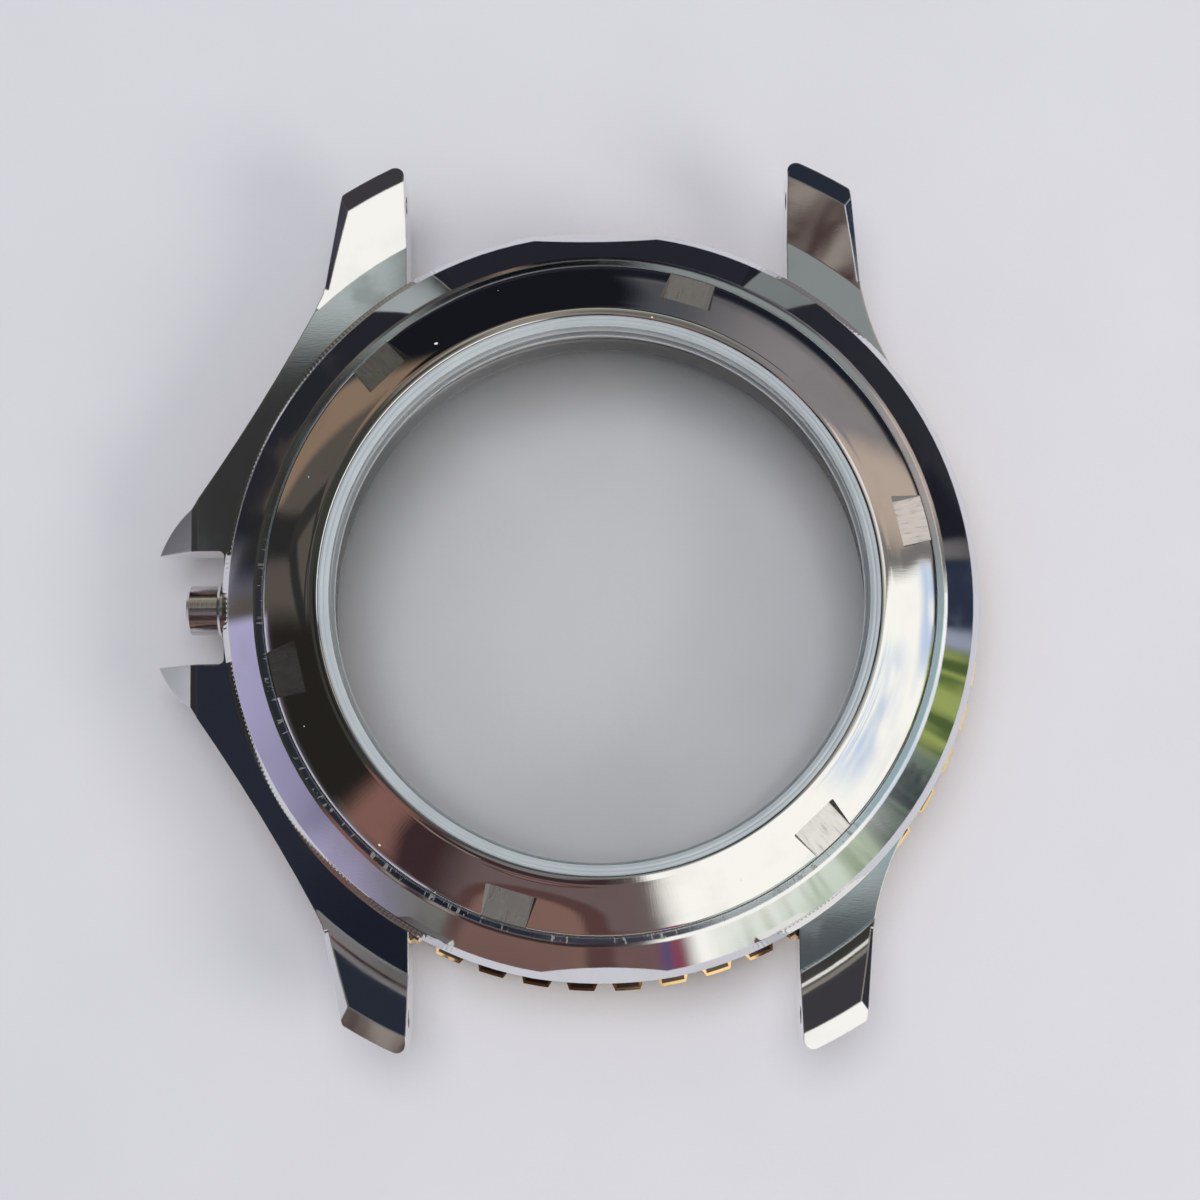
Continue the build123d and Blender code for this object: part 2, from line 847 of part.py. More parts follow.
def make_window_gasket():
    inner_r = window_r + press_gap
    outer_r = inner_r + window_gasket_wall
    foot_z = window_ledge_z + press_gap
    crown_z = back_top_z
    soft = window_gasket_round
    return ring([
        (window_ledge_r, foot_z),
        (outer_r, foot_z),
        (outer_r, crown_z - soft),
        (outer_r - soft, crown_z),
        (inner_r + soft, crown_z),
        (inner_r, crown_z - soft),
        (inner_r, foot_z + window_gasket_foot_h),
        (window_ledge_r, foot_z + window_gasket_foot_h),
    ])


def make_case_back_seal():
    outer_r = seal_in_r + seal_w
    low_z = back_seat_z - seal_h + press_gap
    high_z = back_seat_z + press_gap
    return ring([(seal_in_r, low_z), (outer_r, low_z), (outer_r, high_z), (seal_in_r, high_z)])


makers = {
    "mid_case": make_mid_case,
    "crown_tube": make_crown_tube,
    "crown_tube_seal": make_tube_seal,
    "front_crystal": make_front_crystal,
    "crystal_gasket": make_crystal_gasket,
    "chapter_ring": make_chapter_ring,
    "bezel_ring": make_bezel_ring,
    "bezel_insert": make_bezel_insert,
    "insert_adhesive": make_insert_adhesive,
    "bezel_pip": make_bezel_pip,
    "bezel_snap_wire": make_bezel_snap_wire,
    "bezel_dust_gasket": make_bezel_dust_gasket,
    "bezel_click_spring": make_bezel_click_spring,
    "click_spring_pins": make_click_spring_pins,
    "case_back_ring": make_case_back_ring,
    "back_window": make_back_window,
    "window_gasket": make_window_gasket,
    "case_back_seal": make_case_back_seal,
}

os.makedirs("parts", exist_ok=True)
for name, maker in makers.items():
    shape = maker()
    solids = shape if isinstance(shape, list) else shape.solids()
    shape = solids[0] if len(solids) == 1 else Compound(children=list(solids))
    export_step(shape, os.path.join("parts", name + ".step"))
    print(name, len(solids), round(sum(s.volume for s in solids), 3))
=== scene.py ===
import bpy, bmesh, json, math
from mathutils import Matrix, Vector


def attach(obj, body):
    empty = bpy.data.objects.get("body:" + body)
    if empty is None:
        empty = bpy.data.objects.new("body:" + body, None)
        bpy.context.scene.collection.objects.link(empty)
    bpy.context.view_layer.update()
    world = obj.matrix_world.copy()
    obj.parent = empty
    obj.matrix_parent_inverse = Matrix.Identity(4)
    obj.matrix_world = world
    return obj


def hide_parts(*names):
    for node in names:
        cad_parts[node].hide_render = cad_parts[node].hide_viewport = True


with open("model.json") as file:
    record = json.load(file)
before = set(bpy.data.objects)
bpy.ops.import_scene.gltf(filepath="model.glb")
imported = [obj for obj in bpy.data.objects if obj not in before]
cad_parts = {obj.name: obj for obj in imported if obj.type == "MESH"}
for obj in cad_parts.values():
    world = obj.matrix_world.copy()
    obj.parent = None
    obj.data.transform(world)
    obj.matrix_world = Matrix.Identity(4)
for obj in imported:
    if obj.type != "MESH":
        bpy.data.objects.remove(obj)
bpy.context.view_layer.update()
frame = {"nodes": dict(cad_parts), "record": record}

print("frame loaded:", len(frame["nodes"]), "nodes")

# sizes are written in millimetres and multiplied by mm to give metres
mm = 0.001


class Val:  # one socket of a shader tree, so that a + b adds a Math node
    def __init__(self, paint, socket):
        self.paint, self.socket = paint, socket

    def math(self, operation, other=0, flipped=False):
        pair = [other, self] if flipped else [self, other]
        return self.paint.node("ShaderNodeMath", {"operation": operation}, pair)

    def __add__(self, other): return self.math("ADD", other)
    def __radd__(self, other): return self.math("ADD", other, True)
    def __sub__(self, other): return self.math("SUBTRACT", other)
    def __rsub__(self, other): return self.math("SUBTRACT", other, True)
    def __mul__(self, other): return self.math("MULTIPLY", other)
    def __rmul__(self, other): return self.math("MULTIPLY", other, True)
    def __truediv__(self, other): return self.math("DIVIDE", other)
    def __pow__(self, other): return self.math("POWER", other)


class Paint:  # a node tree that is being filled
    def __init__(self, tree):
        self.tree = tree
        tree.nodes.clear()

    def node(self, kind, settings=None, sockets=(), out=0):
        made = self.tree.nodes.new(kind)
        for name, value in (settings or {}).items():
            setattr(made, name, value)
        pairs = sockets.items() if isinstance(sockets, dict) else enumerate(sockets)
        for key, value in pairs:
            self.feed(made.inputs[key], value)
        return Val(self, made.outputs[out]) if len(made.outputs) else made

    def feed(self, socket, value):
        if isinstance(value, Val):
            self.tree.links.new(value.socket, socket)
        elif socket.type == "RGBA":
            socket.default_value = (*value, 1)
        else:
            socket.default_value = value

    def blend(self, share, first, second):  # of two colours
        sockets = {0: share, 6: first, 7: second}
        return self.node("ShaderNodeMix", {"data_type": "RGBA"}, sockets, 2)

    def choose(self, share, first, second):  # of two shaders
        return self.node("ShaderNodeMixShader", None, [share, first, second])

    def step(self, value, low, high):  # 0 below low, 1 above high, soft between
        settings = {"interpolation_type": "SMOOTHSTEP"}
        return self.node("ShaderNodeMapRange", settings, {0: value, 1: low, 2: high})

    def between(self, value, low, high, soft):  # 1 inside a range
        above = self.step(value, low - soft, low + soft)
        return above * (1 - self.step(value, high - soft, high + soft))

    def vec(self, operation, first, second=(0, 0, 0), out=0):
        settings = {"operation": operation}
        return self.node("ShaderNodeVectorMath", settings, [first, second], out)

    def length(self, vector):
        return self.vec("LENGTH", vector, out="Value")

    def joined(self, x, y, z):
        return self.node("ShaderNodeCombineXYZ", None, [x, y, z])

    def parts(self, vector):  # its x, y and z
        split = self.node("ShaderNodeSeparateXYZ", None, [vector]).socket.node
        return [Val(self, socket) for socket in split.outputs]

    def rays(self, *kinds):  # for each kind, 1 on a ray of that kind
        path = self.node("ShaderNodeLightPath").socket.node
        return [Val(self, path.outputs[kind]) for kind in kinds]

    def noise(self, place, scale, detail=2.0, roughness=0.5):
        sockets = {"Vector": place, "Scale": scale, "Detail": detail, "Roughness": roughness}
        return self.node("ShaderNodeTexNoise", None, sockets)

    def bump(self, height, s):  # its depth, strength and rounded edge are in the settings
        sockets = {"Strength": s["strength"], "Distance": s["depth"] * mm, "Height": height}
        if "edge" in s:
            radius = {"Radius": s["edge"] * mm}
            sockets["Normal"] = self.node("ShaderNodeBevel", {"samples": 4}, radius)
        return self.node("ShaderNodeBump", None, sockets)


# Camera, at the photograph's angle over the case back
cameraSet = {
    "place": (1.211, -13.178, 136.177),
    "right": (0.99989, -0.01047, -0.01055),
    "up": (0.01149, 0.99464, 0.10276),
    "lens": 75.014,
    "sensor": 36.0,
    "clip": (10, 10000),
}


def makeCamera(s):
    data = bpy.data.cameras.new("camera")
    data.lens, data.sensor_width = s["lens"], s["sensor"]
    data.clip_start, data.clip_end = s["clip"][0] * mm, s["clip"][1] * mm
    camera = bpy.data.objects.new("camera", data)
    right, up = Vector(s["right"]), Vector(s["up"])
    turn = Matrix((right, up, right.cross(up))).transposed().to_4x4()
    camera.matrix_world = Matrix.Translation(Vector(s["place"]) * mm) @ turn
    bpy.context.scene.collection.objects.link(camera)
    bpy.context.scene.camera = camera


makeCamera(cameraSet)
bpy.context.scene.view_settings.view_transform = "Standard"


def softCard(way, half, low, high, colour, ends=0.02, sides=0.02, lean=0, **more):
    return {"way": way, "half": half, "low": low, "high": high, "colour": colour,
            "ends": ends, "sides": sides, "lean": lean, **more}


# Studio: plain pale light all round, and for the polished steel a room of soft cards.
# A card has the way that it faces and half its width in degrees round from +X, the sines
# of its lowest and highest rise, its colour, the softness of its ends and of its sides,
# and a lean. A domed card has a round top. Leaves are a second colour in spots.
# The discs overhead have a middle, a radius and a colour. The wobble, the leaves and the
# clouds are noises with a scale, a detail and a roughness.
roomSet = {
    "light": (0.47, 0.47, 0.475),
    "backdrop": (0.66, 0.66, 0.70),
    "ceiling": (0.20, 0.195, 0.175),
    "ground": (0.012, 0.014, 0.022),
    "horizon": (-0.03, 0.0),
    "wobble": (2.5, 1),
    "wobbleRise": 0.05,
    "wobbleAround": 0.06,
    "domePower": 4,
    "domeSoft": 3,
    "leaves": (17, 2, 0.6),
    "leafFrom": (0.42, 0.62),
    "clouds": (3.2, 2, 0.55),
    "cloudPull": (1, 1, 1.6),
    "blueSky": (0.52, 0.66, 0.90),
    "thinFrom": (0.56, 0.75),
    "thinShare": 0.25,
    "gapFrom": (0.30, 0.58),
    "gapShare": 0.85,
    "gaps": [
        softCard(-20, 12, 0.26, 0.72, None, ends=0.12, sides=0.12),
        softCard(2, 9, -0.1, 0.12, None, ends=0.07, sides=0.07),
    ],
    "cards": {
        "oliveWall": softCard(-178, 54, 0.1, 1.3, (0.046, 0.048, 0.041), sides=0.20),
        "northWall": softCard(106, 20, 0.1, 1.3, (0.29, 0.27, 0.235), ends=0.1, sides=0.16),
        "brownWall": softCard(155, 30, -0.2, 0.47, (0.105, 0.09, 0.078), ends=0.05, sides=0.06),
        "lilacCard": softCard(-153.3, 29.3, -0.9, -0.02, (0.50, 0.47, 0.70)),
        "slateCard": softCard(166, 6, -0.9, -0.05, (0.11, 0.11, 0.15), sides=0.06),
        "darkStep": softCard(160, 10, -0.9, -0.06, (0.020, 0.022, 0.032), sides=0.05),
        "tanBeam": softCard(141, 12, -0.3, 0.72, (0.27, 0.19, 0.13), ends=0.10, sides=0.06,
                            lean=1.10),
        "post": softCard(163, 4, -0.2, 0.24, (0.026, 0.026, 0.027), sides=0.03),
        "leftArm": softCard(148, 3.5, 0.19, 0.46, (0.03, 0.03, 0.032), sides=0.03, lean=-1.33),
        "rightArm": softCard(175, 3.5, 0.19, 0.43, (0.036, 0.035, 0.034), sides=0.03, lean=1.03),
        "duskCurtain": softCard(72, 22, -0.02, 0.62, (0.085, 0.088, 0.10), ends=0.05, sides=0.12),
        "greyCurtain": softCard(44, 19, 0.02, 1.2, (0.26, 0.24, 0.245), ends=0.08, sides=0.26),
        "blackCurtain": softCard(108, 23, -0.9, 0.44, (0.009, 0.010, 0.014), sides=0.10,
                                 lean=0.26, domed=True),
        "blackLintel": softCard(86, 16, 0.43, 0.57, (0.010, 0.010, 0.013), sides=0.05),
        "leftRail": softCard(116, 10, 0.44, 0.54, (0.050, 0.048, 0.054), sides=0.05),
        "rightRail": softCard(66, 13, 0.45, 0.54, (0.022, 0.028, 0.042), sides=0.05),
        "paleShelf": softCard(92, 24, 0.565, 0.66, (0.44, 0.44, 0.38), sides=0.06),
        "peachWall": softCard(20, 9, -0.06, 0.97, (0.53, 0.43, 0.36), sides=0.09, lean=-0.30),
        "sky": softCard(-33.5, 45, -0.03, 0.975, (1.13, 1.12, 1.05), ends=0.02, sides=0.045,
                        lean=0.06, sky=True),
        "paleTop": softCard(5, 25, 0.90, 0.985, (0.62, 0.60, 0.57), sides=0.15),
        "thinPost": softCard(13, 1.3, -0.1, 0.33, (0.20, 0.19, 0.19)),
        "navyHill": softCard(4, 7, -0.9, -0.045, (0.026, 0.035, 0.064)),
        "paleGap": softCard(-2, 1.4, -0.9, -0.01, (0.34, 0.37, 0.46)),
        "trees": softCard(-13, 9, -0.9, -0.012, (0.36, 0.43, 0.12), sides=0.03,
                          leaves=(0.075, 0.12, 0.035)),
        "farTrees": softCard(-30, 9, -0.9, -0.005, (0.14, 0.19, 0.15), sides=0.03,
                             leaves=(0.03, 0.045, 0.05)),
        "haze": softCard(-54, 16, -0.9, 0.012, (0.66, 0.76, 0.62), ends=0.03, sides=0.05,
                         leaves=(0.30, 0.38, 0.24)),
        "brownFloor": softCard(-96, 21, -0.9, 0.05, (0.185, 0.110, 0.100), sides=0.04),
        "flowerBed": softCard(-78.5, 2.2, -0.9, 0.02, (0.36, 0.03, 0.08),
                              leaves=(0.06, 0.07, 0.26)),
        "maroonCurtain": softCard(-113, 28, 0.03, 0.96, (0.048, 0.026, 0.029), sides=0.10),
        "mauveWall": softCard(-100, 20, 0.05, 0.60, (0.16, 0.115, 0.112), ends=0.06, sides=0.12),
        "chairBack": softCard(-104, 15, 0.0, 0.44, (0.105, 0.055, 0.050), sides=0.05, domed=True),
        "chairSeat": softCard(-105, 11, 0.0, 0.37, (0.235, 0.135, 0.112), sides=0.07, domed=True),
        "blossom": softCard(-128, 9, 0.58, 0.71, (0.32, 0.28, 0.24), sides=0.03,
                            leaves=(0.06, 0.035, 0.035)),
        "pinkPost": softCard(-140, 6, 0.03, 0.93, (0.24, 0.12, 0.10), ends=0.09, sides=0.06,
                             lean=0.08),
        "darkChair": softCard(-164, 18, -0.03, 0.62, (0.020, 0.018, 0.015), ends=0.08, sides=0.06),
        "eastPatch": softCard(29, 16, 0.83, 0.94, (0.93, 0.85, 0.81), ends=0.03, sides=0.08),
        "northPatch": softCard(80, 14, 0.80, 0.92, (0.14, 0.14, 0.13), ends=0.03, sides=0.10),
        "northWestPatch": softCard(127, 15, 0.79, 0.93, (0.050, 0.050, 0.044), ends=0.03,
                                   sides=0.10),
        "westPatch": softCard(179, 17, 0.84, 0.95, (0.018, 0.018, 0.017), ends=0.02, sides=0.10),
        "southPatch": softCard(-114, 15, 0.89, 0.985, (0.20, 0.19, 0.19), ends=0.02, sides=0.12),
    },
    "quarterSlack": 4,
    "overheadFrom": 0.955,
    "discEdge": (0.7, 1.2),
    "discs": [
        ((0.05, 0.08), 0.25, (0.27, 0.30, 0.29)),
        ((-0.035, 0.225), 0.048, (0.003, 0.004, 0.006)),
        ((-0.125, 0.235), 0.040, (0.50, 0.56, 0.55)),
        ((-0.120, 0.145), 0.065, (0.035, 0.036, 0.034)),
        ((-0.165, 0.03), 0.085, (0.022, 0.026, 0.040)),
        ((-0.07, -0.06), 0.080, (0.012, 0.015, 0.026)),
        ((0.0, -0.06), 0.050, (0.045, 0.045, 0.065)),
        ((0.06, 0.01), 0.045, (0.55, 0.62, 0.62)),
        ((0.14, 0.05), 0.065, (0.34, 0.48, 0.51)),
        ((0.14, 0.165), 0.040, (0.44, 0.38, 0.36)),
        ((0.08, -0.065), 0.052, (0.080, 0.095, 0.10)),
    ],
}


def makeRoom(s):
    world = bpy.data.worlds.new("room")
    bpy.context.scene.world = world
    world.use_nodes = True
    paint = Paint(world.node_tree)
    look = paint.node("ShaderNodeTexCoord")
    x, y, rise = paint.parts(look)
    wobble = paint.noise(look, *s["wobble"]) - 0.5
    risen = rise + wobble * s["wobbleRise"]
    around = y.math("ARCTAN2", x) + wobble * s["wobbleAround"]

    def inside(card):  # 1 on the card and 0 beside it
        way, half = math.radians(card["way"]), math.radians(card["half"])
        low, high, ends = card["low"], card["high"], card["ends"]
        sides, lean = card["sides"], card["lean"]
        off = around + (risen * lean - way if lean else -way)
        near = off.math("COSINE")
        if "domed" in card:
            tall = (risen.math("MAXIMUM") / high) ** s["domePower"]
            out = (1 - near) / (1 - math.cos(half)) + tall
            soft = s["domeSoft"] * sides
            share = 1 - paint.step(out, 1 - soft, 1 + soft)
            return share * paint.step(risen, low - ends, low + ends)
        share = paint.step(near, math.cos(half + sides), math.cos(max(half - sides, 0)))
        middle, reach = (low + high) / 2, (high - low) / 2
        away = (risen - middle).math("ABSOLUTE")
        return share * (1 - paint.step(away, reach - ends, reach + ends))

    def glow(colour):
        return paint.node("ShaderNodeBackground", None, {"Color": colour, "Strength": 1.0})

    def wall(cards, discs=()):  # one part of the room
        colour = paint.blend(paint.step(rise, *s["horizon"]), s["ground"], s["ceiling"])
        if any("sky" in card for card in cards):
            clouds = paint.noise(paint.vec("MULTIPLY", look, s["cloudPull"]), *s["clouds"])
        if any("leaves" in card for card in cards):
            leafy = paint.step(paint.noise(look, *s["leaves"]), *s["leafFrom"])
        for card in cards:
            share = inside(card)
            tint = card["colour"]
            if "sky" in card:
                for gap in s["gaps"]:
                    opened = inside(gap) * paint.step(clouds, *s["gapFrom"])
                    tint = paint.blend(opened * s["gapShare"], tint, s["blueSky"])
                thin = paint.step(clouds, *s["thinFrom"])
                tint = paint.blend(thin * s["thinShare"], tint, s["blueSky"])
            elif "leaves" in card:
                tint = paint.blend(leafy, tint, card["leaves"])
            colour = paint.blend(share, colour, tint)
        for middle, radius, tint in discs:
            aside = paint.vec("SUBTRACT", look, (*middle, 1))
            aside = paint.length(paint.vec("MULTIPLY", aside, (1, 1, 0)))
            low, high = (radius * edge for edge in s["discEdge"])
            colour = paint.blend(1 - paint.step(aside, low, high), colour, tint)
        return glow(colour)

    def quarter(way):  # only the cards that reach into this quarter, so that it stays quick
        cards = []
        for card in s["cards"].values():
            apart = abs((card["way"] - way + 180) % 360 - 180)
            leaning = abs(card["lean"]) * min(card["high"], 1)
            slack = math.degrees(card["sides"] + leaning) + s["quarterSlack"]
            if apart < 45 + card["half"] + slack:
                cards.append(card)
        return wall(cards)

    east, north = x.math("GREATER_THAN"), y.math("GREATER_THAN")
    northern = paint.choose(east, quarter(135), quarter(45))
    southern = paint.choose(east, quarter(-135), quarter(-45))
    high = [card for card in s["cards"].values() if card["high"] + card["ends"] > s["overheadFrom"]]
    overhead = rise.math("GREATER_THAN", s["overheadFrom"])
    lower = paint.choose(north, southern, northern)
    mirrored = paint.choose(overhead, lower, wall(high, s["discs"]))
    seen, glossy = paint.rays("Is Camera Ray", "Is Glossy Ray")
    plainLight = glow(paint.blend(seen, s["light"], s["backdrop"]))
    paint.node("ShaderNodeOutputWorld", None, [paint.choose(glossy, plainLight, mirrored)])


makeRoom(roomSet)

# The steel sees a dark cloth behind the lugs, and the room beyond the mirrored part
floorSet = {
    "radius": 400,
    "segments": 96,
    "z": -0.03,
    "pale": (0.66, 0.66, 0.70),
    "mottled": 0.93,
    "mottle": (90, 2),
    # painted light: the floor under the case is paler, standing in for light that the case shades
    # off
    "middle": (0.84, 0.84, 0.86),
    "paintedLightR": (15.5, 18),
    "cloth": (0.012, 0.014, 0.022),
    "clothFrom": (36, 47),
    "clothSlant": 0.3,
    "clothSoft": (-30, 0),
    "mirroredR": 100,
    "grain": (2500, 3),
    "depth": 0.05,
    "strength": 0.25,
    "rough": 0.9,
    "gleam": 0.2,
}


def makeFloor(s):
    mesh = bpy.data.meshes.new("floor")
    shape = bmesh.new()
    bmesh.ops.create_circle(shape, cap_ends=True, segments=s["segments"], radius=s["radius"] * mm)
    shape.to_mesh(mesh)
    shape.free()
    floor = bpy.data.objects.new("floor", mesh)
    floor.location.z = s["z"] * mm
    bpy.context.scene.collection.objects.link(floor)
    mesh.materials.append(paper(s))


def paper(s):
    material = bpy.data.materials.new("paper")
    material.use_nodes = True
    paint = Paint(material.node_tree)
    place = paint.node("ShaderNodeTexCoord", out="Object")
    x, y = paint.parts(place)[:2]
    fromMiddle = paint.length(place)
    glossy, = paint.rays("Is Glossy Ray")
    mottle = paint.noise(place, *s["mottle"])
    pale = paint.blend(mottle, s["pale"], tuple(c * s["mottled"] for c in s["pale"]))
    # painted light: paler floor in the middle, under the case's window, where the case shades it
    outer = paint.step(fromMiddle, s["paintedLightR"][0] * mm, s["paintedLightR"][1] * mm)
    pale = paint.blend(outer, s["middle"], pale)
    away = x.math("ABSOLUTE").math("MAXIMUM", y.math("ABSOLUTE"))
    cloth = paint.step(away, s["clothFrom"][0] * mm, s["clothFrom"][1] * mm)
    behind = paint.step(y + s["clothSlant"] * x, s["clothSoft"][0] * mm, s["clothSoft"][1] * mm)
    colour = paint.blend(cloth * behind * glossy, pale, s["cloth"])
    sheet = paint.node("ShaderNodeBsdfPrincipled", None, {
        "Base Color": colour, "Roughness": s["rough"], "Specular IOR Level": s["gleam"],
        "Normal": paint.bump(paint.noise(place, *s["grain"]), s)})
    clear = paint.node("ShaderNodeBsdfTransparent")
    beyond = fromMiddle.math("GREATER_THAN", s["mirroredR"] * mm) * glossy
    paint.node("ShaderNodeOutputMaterial", None, [paint.choose(beyond, sheet, clear)])
    return material


makeFloor(floorSet)

# A lamp has its place and width in millimetres, its power in watts and its colour
lampSet = {
    "keyLamp": ((190, -90, 210), 130, 0.25, (1.0, 0.97, 0.93)),
    "topLamp": ((-10, 30, 300), 150, 0.44, (0.95, 0.96, 1.0)),
}


def makeLamps(lamps):
    for name, (place, width, power, colour) in lamps.items():
        data = bpy.data.lights.new(name, "AREA")
        data.shape, data.size, data.energy, data.color = "DISK", width * mm, power, colour
        lamp = bpy.data.objects.new(name, data)
        lamp.location = Vector(place) * mm
        lamp.rotation_euler = (-lamp.location).to_track_quat("-Z", "Y").to_euler()
        lamp.visible_glossy = False
        bpy.context.scene.collection.objects.link(lamp)


makeLamps(lampSet)
print("studio lit")


def newMaterial(name, fill):  # in millimetres of the piece's own frame
    material = bpy.data.materials.new(name)
    material.use_nodes = True
    paint = Paint(material.node_tree)
    place = paint.node("ShaderNodeTexCoord", out="Object")
    shader = fill(paint, paint.vec("MULTIPLY", place, (1 / mm, 1 / mm, 1 / mm)))
    paint.node("ShaderNodeOutputMaterial", None, [shader])
    return material


def fromAxis(paint, place):
    return paint.length(paint.vec("MULTIPLY", place, (1, 1, 0)))


streakSet = {"around": (17, 17, 0), "detail": 3}


def roundStreaks(paint, place, fine, coarse):  # short marks that run out from the axis
    out = paint.vec("NORMALIZE", paint.vec("MULTIPLY", place, (1, 1, 0)))
    around = paint.vec("MULTIPLY", out, streakSet["around"])
    along = paint.joined(0, 0, fromAxis(paint, place) * coarse)
    return paint.noise(paint.vec("ADD", around, along), fine, streakSet["detail"])


def surface(paint, s, colour, rough, height, metallic=1.0):
    return paint.node("ShaderNodeBsdfPrincipled", None, {
        "Base Color": colour, "Metallic": metallic, "Roughness": rough,
        "Normal": paint.bump(height, s)})


# Finishes. A noise has its scale and detail, streaks have a fine and a coarse scale, and
# pull stretches a pattern along x, y and z. A name with From has the ends of a soft step.
# Rough, High and Share are how much a pattern adds to the roughness, relief or colour.
caseSteel = {
    "colour": (0.80, 0.80, 0.815), "smeared": (0.72, 0.73, 0.74), "smearShare": 0.5,
    "pull": (1, 6, 1), "scratches": (3.0, 4), "smears": (0.35, 3), "smearFrom": (0.5, 0.72),
    "rimR": (19.20, 19.46, 0.03), "rimZFrom": (7.85, 7.95), "rimTeeth": 504,
    "landR": (17.05, 17.47, 0.02), "landZFrom": (9.9, 9.95), "strokes": (5, 0.25),
    "strokeFrom": (0.58, 0.66), "scuffSlant": 0.5, "scuffFrom": (-2, -9),
    "rough": 0.04, "smearRough": 0.05, "scratchRough": 0.02, "strokeRough": 0.35,
    "rimRough": 0.05, "scratchHigh": 0.01, "toothHigh": 0.35,
    "depth": 0.04, "strength": 0.6, "edge": 0.10,
}


def polishedCase(paint, place):  # mirror polish, a lapped land and a finely toothed rim
    s = caseSteel
    x, y, z = paint.parts(place)
    radius = fromAxis(paint, place)
    scratch = paint.noise(paint.vec("MULTIPLY", place, s["pull"]), *s["scratches"])
    smear = paint.step(paint.noise(place, *s["smears"]), *s["smearFrom"])
    teeth = (y.math("ARCTAN2", x) * s["rimTeeth"]).math("SINE") * 0.5 + 0.5
    onRim = paint.between(radius, *s["rimR"]) * paint.step(z, *s["rimZFrom"])
    onLand = paint.between(radius, *s["landR"]) * paint.step(z, *s["landZFrom"])
    scuffed = paint.step(y + s["scuffSlant"] * x, *s["scuffFrom"])  # towards the lugs at -Y
    stroke = paint.step(roundStreaks(paint, place, *s["strokes"]), *s["strokeFrom"])
    stroke = onLand * scuffed * stroke
    rough = s["rough"] + s["smearRough"] * smear + s["scratchRough"] * scratch
    rough = rough + s["strokeRough"] * stroke + s["rimRough"] * onRim
    height = s["scratchHigh"] * scratch + s["toothHigh"] * onRim * teeth
    colour = paint.blend(smear * s["smearShare"], s["colour"], s["smeared"])
    return surface(paint, s, colour, rough, height)


backSteel = {
    "colour": (0.82, 0.815, 0.81), "smeared": (0.70, 0.69, 0.69), "smearShare": 0.4,
    "streaks": (9, 0.12), "streakFrom": (0.5, 0.8), "smears": (0.45, 3),
    "smearFrom": (0.48, 0.75), "dust": (2.7, 0), "dustFrom": (0.885, 0.90),
    "rough": 0.035, "smearRough": 0.05, "streakRough": 0.03, "dustRough": 0.5,
    "depth": 0.02, "strength": 0.03,
}


def polishedBack(paint, place):  # mirror polish with wiping marks and specks of dust
    s = backSteel
    streak = roundStreaks(paint, place, *s["streaks"])
    smear = paint.step(paint.noise(place, *s["smears"]), *s["smearFrom"])
    dust = paint.step(paint.noise(place, *s["dust"]), *s["dustFrom"])
    rough = s["rough"] + s["smearRough"] * smear
    rough = rough + s["streakRough"] * paint.step(streak, *s["streakFrom"])
    rough = rough + s["dustRough"] * dust
    colour = paint.blend(smear * s["smearShare"], s["colour"], s["smeared"])
    return surface(paint, s, colour, rough, streak, 1.0 - dust)


milledSet = {
    "colour": (0.76, 0.75, 0.73), "scored": (0.40, 0.40, 0.40), "scoredShare": 0.5,
    "streaks": (6, 0.2), "scoredFrom": (0.56, 0.70), "waves": (0.9, 2), "streakHigh": 0.03,
    "rough": 0.13, "streakRough": 0.22, "depth": 0.03, "strength": 0.5,
}


def milledSteel(paint, place):  # the floors of the wrench notches
    s = milledSet
    streak = roundStreaks(paint, place, *s["streaks"])
    scored = paint.step(streak, *s["scoredFrom"])
    colour = paint.blend(scored * s["scoredShare"], s["colour"], s["scored"])
    height = paint.noise(place, *s["waves"]) + streak * s["streakHigh"]
    return surface(paint, s, colour, s["rough"] + s["streakRough"] * streak, height)


cutSet = {
    "dark": (0.14, 0.14, 0.14), "pale": (0.34, 0.33, 0.32), "pull": (1, 1, 7),
    "marks": (2.5, 2), "rough": 0.34, "markRough": 0.2, "depth": 0.02, "strength": 0.4,
}


def cutSteel(paint, place):  # the sides of the wrench notches
    s = cutSet
    marks = paint.noise(paint.vec("MULTIPLY", place, s["pull"]), *s["marks"])
    colour = paint.blend(marks, s["dark"], s["pale"])
    return surface(paint, s, colour, s["rough"] + s["markRough"] * marks, marks)


tubeSet = {
    "colour": (0.72, 0.70, 0.69), "pull": (12, 0.6, 0.6), "rings": (1.2, 3),
    "rough": 0.10, "ringRough": 0.12, "depth": 0.02, "strength": 0.3, "edge": 0.03,
}


def turnedSteel(paint, place):  # the crown tube, with fine rings
    s = tubeSet
    rings = paint.noise(paint.vec("MULTIPLY", place, s["pull"]), *s["rings"])
    return surface(paint, s, s["colour"], s["rough"] + s["ringRough"] * rings, rings)


satinSet = {
    "colour": (0.66, 0.66, 0.66), "streaks": (30, 6), "rough": 0.18, "streakRough": 0.12,
    "depth": 0.01, "strength": 0.08, "edge": 0.03,
}


def satinSteel(paint, place):  # the chapter ring
    s = satinSet
    streak = roundStreaks(paint, place, *s["streaks"])
    return surface(paint, s, s["colour"], s["rough"] + s["streakRough"] * streak, streak)


drawnSet = {
    "colour": (0.52, 0.52, 0.53), "grain": (6, 3), "rough": 0.22, "grainRough": 0.15,
    "depth": 0.01, "strength": 0.2, "edge": 0.02,
}


def drawnSteel(paint, place):  # the leaf spring, its pins and the snap wire
    s = drawnSet
    grain = paint.noise(place, *s["grain"])
    return surface(paint, s, s["colour"], s["rough"] + s["grainRough"] * grain, grain)


